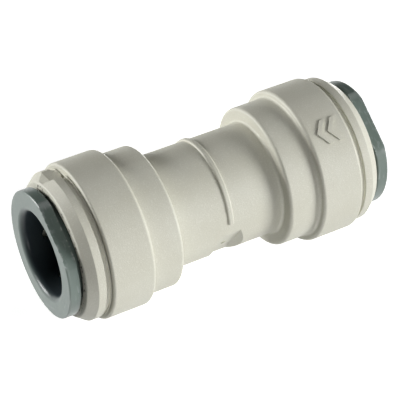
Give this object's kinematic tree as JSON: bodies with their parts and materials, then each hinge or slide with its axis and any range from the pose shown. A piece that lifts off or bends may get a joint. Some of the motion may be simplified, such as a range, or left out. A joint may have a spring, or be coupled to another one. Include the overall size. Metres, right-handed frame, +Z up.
{
  "type": "push to connect fitting",
  "caption": "Straight push to connect fitting that joins two plain tube ends, with a release collet, tooth ring and O-ring seal at each end.",
  "frame": {"origin": "middle of the fitting, on the tube axis", "axes": "+X along the tube axis towards the right-hand port, +Z up, the raised chevrons on the upper front of the right-hand ring"},
  "size_m": [0.0536, 0.024, 0.024],
  "materials": {
    "body_ivory": "fine satin mould texture, warm light grey acetal",
    "cap_ivory": "fine satin mould texture, warm light grey acetal",
    "collet_grey": "satin slate grey acetal",
    "seal_rubber": "smooth black nitrile",
    "spacer_white": "satin natural acetal",
    "tooth_steel": "stamped spring steel"
  },
  "bodies": {
    "fitting_body": {"connector_body": "body_ivory", "left_cap": "cap_ivory", "right_cap": "cap_ivory", "left_o_ring": "seal_rubber", "right_o_ring": "seal_rubber"},
    "left_washer": {"left_spacer": "spacer_white"},
    "left_release": {"left_collet": "collet_grey", "left_tooth_1": "tooth_steel", "left_tooth_2": "tooth_steel", "left_tooth_3": "tooth_steel", "left_tooth_4": "tooth_steel", "left_tooth_5": "tooth_steel", "left_tooth_6": "tooth_steel"},
    "right_washer": {"right_spacer": "spacer_white"},
    "right_release": {"right_collet": "collet_grey", "right_tooth_1": "tooth_steel", "right_tooth_2": "tooth_steel", "right_tooth_3": "tooth_steel", "right_tooth_4": "tooth_steel", "right_tooth_5": "tooth_steel", "right_tooth_6": "tooth_steel"}
  },
  "joints": [
    {"name": "left_collet_spin", "type": "hinge", "parent": "fitting_body", "child": "left_washer", "pos_m": [-0.0129, 0, 0], "axis": [1, 0, 0], "continuous": true},
    {"name": "left_collet_press", "type": "slide", "parent": "left_washer", "child": "left_release", "axis": [1, 0, 0], "range_m": [-0.0003, 0.0005]},
    {"name": "right_collet_spin", "type": "hinge", "parent": "fitting_body", "child": "right_washer", "pos_m": [0.0129, 0, 0], "axis": [1, 0, 0], "continuous": true},
    {"name": "right_collet_press", "type": "slide", "parent": "right_washer", "child": "right_release", "axis": [-1, 0, 0], "range_m": [-0.0003, 0.0005]}
  ]
}
